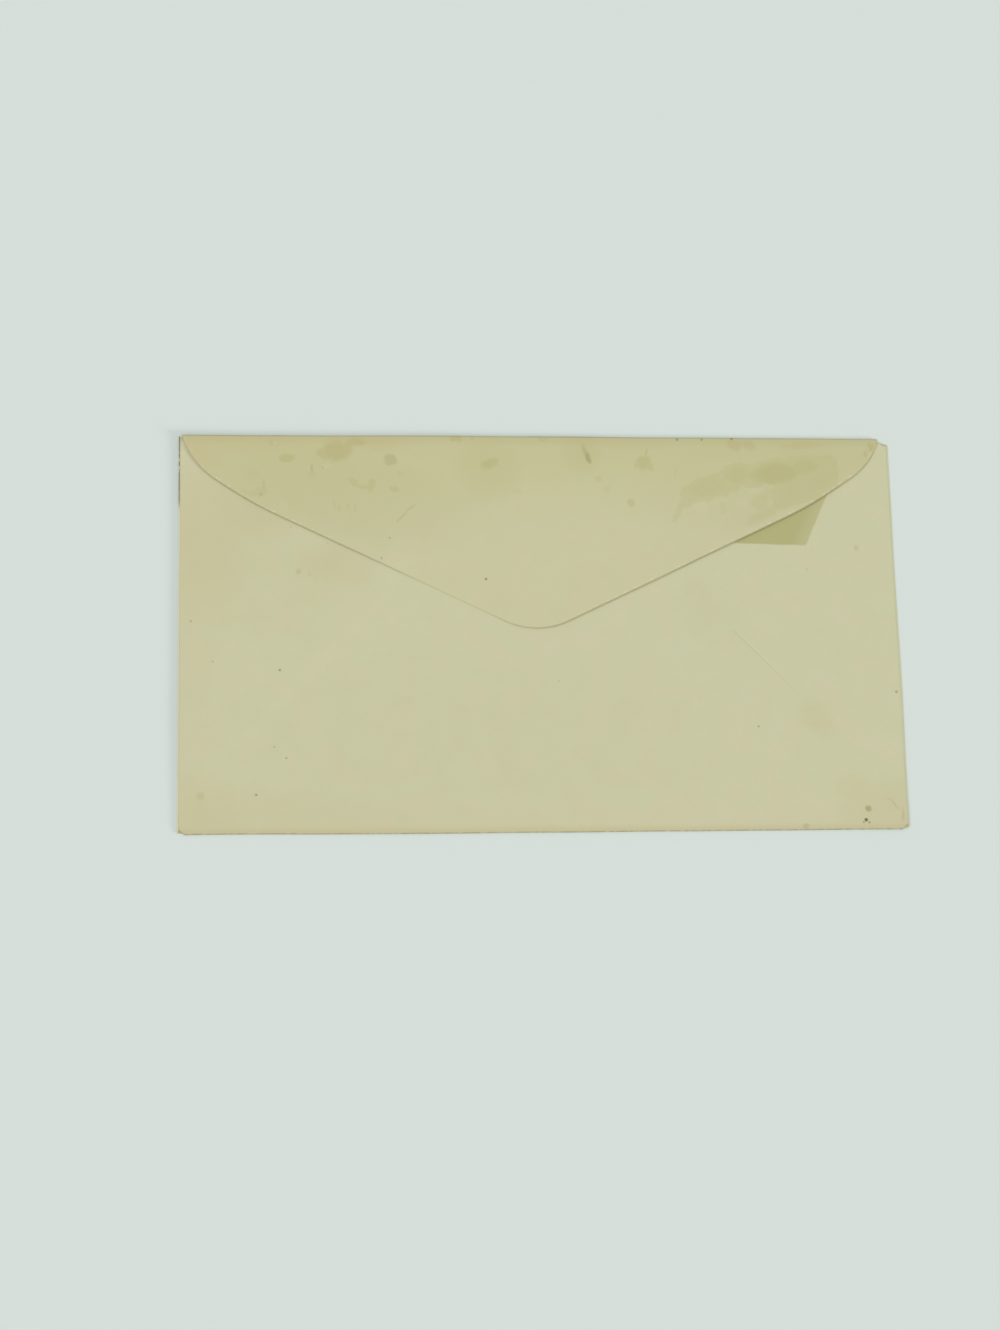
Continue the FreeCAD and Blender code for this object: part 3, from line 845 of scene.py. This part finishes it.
def paper_material():
    """Wove writing paper, machine-made and uncoated, yellowed with age: matt, faintly cloudy
    where the pulp is uneven, browner where it was handled, with old gum and foxing."""
    material, tree = new_material("aged_wove_writing_paper")
    blank = add(tree, "Attribute", output="Vector", attribute_name="blank")
    from_edge = add(tree, "Attribute", output="Fac", attribute_name="from_edge")
    body = add(tree, "TexCoord", output="Object")
    body = add(tree, "VectorMath", {0: body, "Scale": 1 / MM}, operation="SCALE")
    x, y, _ = add(tree, "SeparateXYZ", (blank,)).node.outputs
    wander = add(tree, "TexNoise", {
        "Vector": blank, "Scale": 1 / WANDER, "Detail": 4.0, "Roughness": PULP_ROUGHNESS}, "Color")
    wander = add(tree, "VectorMath", (wander, (0.5, 0.5, 0.5)), operation="SUBTRACT")

    colour, clouds, mottle, fibres = wove_paper(tree, linear(PAPER_TONE), blank)
    colour = edge_tones(tree, colour, body, clouds)
    colour, is_flap = flap_tones(tree, colour, y)
    place = add(tree, "VectorMath", (wander, IN_PLANE * GUM_RAGGED, blank), operation="MULTIPLY_ADD")
    colour, pool = soaked_gum(tree, colour, place, x, mottle)
    for group in STAINS:
        reach = IN_PLANE * STAIN_RAGGED * group.ragged
        place = add(tree, "VectorMath", (wander, reach, blank), operation="MULTIPLY_ADD")
        mask = stain_mask(tree, place, group.stains, group.face, group.soft)
        colour = tint(tree, colour, mask, group.colour)
    place = add(tree, "VectorMath", (wander, IN_PLANE * PATCH_RAGGED, blank), operation="MULTIPLY_ADD")
    colour, patch = gum_patch(tree, colour, place)
    colour = seam_line(tree, colour, blank)
    colour = fold_dirt_and_shading(tree, colour, x, y, mottle)
    colour = flap_edge(tree, colour, x, from_edge, is_flap, mottle)
    for face, specks in (("flap", FLAP_SPECKS), ("back", BACK_SPECKS)):
        round_stains = [Stain(s.x, s.y, s.radius, s.radius, 0, s.strength) for s in specks]
        colour = tint(tree, colour, stain_mask(tree, blank, round_stains, face, 0.5), DIRT_AND_SHADE, 0.85)

    # Dried gum is a little smoother than the paper, whose mottle and fibres can just be felt.
    gummed = add(tree, "Math", (pool, patch), operation="MAXIMUM")
    rough = add(tree, "Math", (gummed, -0.16, 0.88), operation="MULTIPLY_ADD")
    grain = add(tree, "Math", (fibres, 0.6, mottle), operation="MULTIPLY_ADD")
    bump = add(tree, "Bump", {"Height": grain, "Strength": 0.35, "Distance": GRAIN_DEPTH * MM})
    paper = add(tree, "BsdfPrincipled", {
        "Base Color": colour, "Roughness": rough, "Normal": bump,
        "IOR": 1.5, "Specular IOR Level": 0.25})
    add(tree, "OutputMaterial", {"Surface": paper})
    return material


def floor_material():
    """Plain pale board, matt, which gives an even ground."""
    material, tree = new_material("matt_pale_board")
    board = add(tree, "BsdfPrincipled", {
        "Base Color": linear(FLOOR_TONE), "Roughness": 0.95, "Specular IOR Level": 0.1})
    add(tree, "OutputMaterial", {"Surface": board})
    return material


# The floor's reach to each side in metres, and the hair's breadth between it and the paper.
FLOOR_REACH = 3.0
FLOOR_CLEARANCE = 0.02


def make_floor():
    """A plain floor under the envelope."""
    bm = bmesh.new()
    bmesh.ops.create_grid(bm, x_segments=1, y_segments=1, size=FLOOR_REACH)
    bmesh.ops.translate(bm, verts=bm.verts, vec=(0, 0, -FLOOR_CLEARANCE * MM))
    mesh = bpy.data.meshes.new("floor")
    bm.to_mesh(mesh)
    bm.free()
    mesh.materials.append(floor_material())
    floor = bpy.data.objects.new("floor", mesh)
    bpy.context.scene.collection.objects.link(floor)


# The room's own light, and the lamps: strength, width in degrees, and the way each one shines.
ROOM_LIGHT = 0.50
Lamp = namedtuple("Lamp", "name energy width towards")
LAMPS = (
    Lamp("ceiling", 1.38, 70, (0.55, 0.15, -1.0)),
    Lamp("window", 1.69, 12, (-0.86, 0.42, -0.221)),
)


def make_lights():
    """Soft even room light, a wide lamp above and left, and a smaller one low at the lower right."""
    scene = bpy.context.scene
    scene.world = bpy.data.worlds.new("room")
    scene.world.use_nodes = True
    background = scene.world.node_tree.nodes["Background"]
    background.inputs["Color"].default_value = (1, 1, 1, 1)
    background.inputs["Strength"].default_value = ROOM_LIGHT
    for lamp in LAMPS:
        sun = bpy.data.lights.new(lamp.name, "SUN")
        sun.energy = lamp.energy
        sun.angle = math.radians(lamp.width)
        holder = bpy.data.objects.new(lamp.name, sun)
        holder.rotation_euler = Vector(lamp.towards).to_track_quat("-Z", "Y").to_euler()
        scene.collection.objects.link(holder)


# The photograph's camera, worked out from the envelope's four corners.
CAMERA_PLACE = Vector((-59.95, -112.85, 509.64)) * MM
CAMERA_LOOK = Vector((0.09542, 0.20116, -0.9749)).normalized()
CAMERA_UP = Vector((0.00256, 0.97932, 0.20232))
FOCAL_PIXELS = 2303.8
PHOTO_HEIGHT = 1330
SENSOR = 36.0
NEAREST = 0.01


def make_camera():
    """Puts the camera at the photograph's viewing angle."""
    lens = bpy.data.cameras.new("camera")
    lens.sensor_width = SENSOR
    lens.lens = FOCAL_PIXELS / PHOTO_HEIGHT * SENSOR
    lens.clip_start = NEAREST
    camera = bpy.data.objects.new("camera", lens)
    right = CAMERA_LOOK.cross(CAMERA_UP).normalized()
    upward = right.cross(CAMERA_LOOK)
    turn = Matrix((right, upward, -CAMERA_LOOK)).transposed().to_4x4()
    camera.matrix_world = Matrix.Translation(CAMERA_PLACE) @ turn
    bpy.context.scene.collection.objects.link(camera)
    bpy.context.scene.camera = camera


def main():
    scene = bpy.context.scene
    scene.view_settings.view_transform = "Standard"
    make_camera()
    make_lights()
    make_floor()
    envelope = make_envelope()
    envelope.data.materials.append(paper_material())
    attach(envelope, "root")
    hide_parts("envelope")


main()
